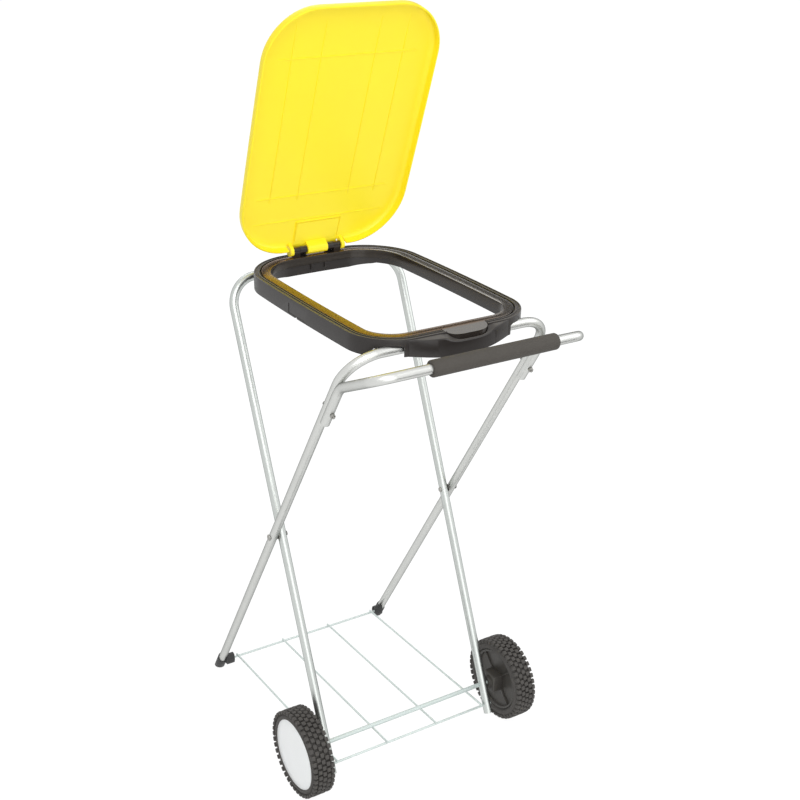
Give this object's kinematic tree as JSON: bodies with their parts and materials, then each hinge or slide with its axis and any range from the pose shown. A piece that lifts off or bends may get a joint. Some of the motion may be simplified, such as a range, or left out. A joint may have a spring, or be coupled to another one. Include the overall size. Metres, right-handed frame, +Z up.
{
  "type": "bin bag holder",
  "caption": "Folding wheeled tube-frame holder for a bin bag, with a clamping ring, hinged lid, wire shelf and foam handle grip.",
  "frame": {"origin": "on the floor, below the centre of the bounding box", "axes": "+Z up, +X along the wheel axle, -Y towards the handle, +Y towards the rear feet and the lid hinge"},
  "size_m": [0.483, 0.6138, 1.3201],
  "materials": {
    "zinc_plated_steel": "satin zinc-plated tube",
    "dark_steel": "dull plated fasteners",
    "galvanised_wire": "galvanised wire",
    "black_plastic": "moulded, fine matt grain",
    "dark_grey_plastic": "moulded, low sheen",
    "grip_foam": "matt closed-cell foam",
    "tyre_rubber": "matt solid tyre",
    "white_plastic": "moulded, semi-gloss",
    "yellow_plastic": "moulded, semi-gloss"
  },
  "bodies": {
    "foot_body": {"foot_frame": "zinc_plated_steel", "foot_cap_left": "black_plastic", "foot_cap_right": "black_plastic", "handle_tube": "zinc_plated_steel", "handle_grip": "grip_foam", "handle_bolt_left": "dark_steel", "handle_bolt_right": "dark_steel", "handle_nut_left": "dark_steel", "handle_nut_right": "dark_steel", "pivot_rivet_left": "dark_steel", "pivot_rivet_right": "dark_steel", "pivot_washer_left": "dark_steel", "pivot_washer_right": "dark_steel"},
    "wheel_body": {"wheel_frame": "zinc_plated_steel", "axle": "dark_steel", "axle_clip_left": "dark_steel", "axle_clip_right": "dark_steel"},
    "ring_body": {"ring_frame": "dark_grey_plastic", "lid_hinge_pin": "dark_steel"},
    "lid_body": {"lid": "yellow_plastic"},
    "clamp_body": {"clamp_ring": "dark_grey_plastic"},
    "shelf_body": {"wire_shelf": "galvanised_wire"},
    "wheel_left": {"tyre_left": "tyre_rubber", "wheel_rim_left": "black_plastic", "hub_cap_left": "white_plastic"},
    "wheel_right": {"tyre_right": "tyre_rubber", "wheel_rim_right": "black_plastic", "hub_cap_right": "white_plastic"}
  },
  "joints": [
    {"name": "fold", "type": "hinge", "parent": "foot_body", "child": "wheel_body", "pos_m": [0, 0.0412, 0.4333], "axis": [1, 0, 0], "range_deg": [0, 45]},
    {"name": "ring_lift", "type": "hinge", "parent": "wheel_body", "child": "ring_body", "pos_m": [0, 0.22842, 0.85125], "axis": [-1, 0, 0], "range_deg": [0, 99]},
    {"name": "shelf_lift", "type": "hinge", "parent": "wheel_body", "child": "shelf_body", "pos_m": [0, -0.1339, 0.0424], "axis": [1, 0, 0], "range_deg": [0, 47.25]},
    {"name": "lid_hinge", "type": "hinge", "parent": "ring_body", "child": "lid_body", "pos_m": [0, 0.22652, 0.88545], "axis": [-1, 0, 0], "range_deg": [-71.1, 39]},
    {"name": "clamp_hinge", "type": "hinge", "parent": "ring_body", "child": "clamp_body", "pos_m": [0, 0.22652, 0.88545], "axis": [-1, 0, 0], "range_deg": [0, 50]},
    {"name": "wheel_left_spin", "type": "hinge", "parent": "wheel_body", "child": "wheel_left", "pos_m": [-0.2015, -0.11706, 0.08], "axis": [1, 0, 0], "continuous": true},
    {"name": "wheel_right_spin", "type": "hinge", "parent": "wheel_body", "child": "wheel_right", "pos_m": [0.2015, -0.11706, 0.08], "axis": [1, 0, 0], "continuous": true}
  ],
  "couplings": [
    {"joint": "ring_lift", "follows": "fold", "ratio": 2.2},
    {"joint": "shelf_lift", "follows": "fold", "ratio": 1.05}
  ]
}
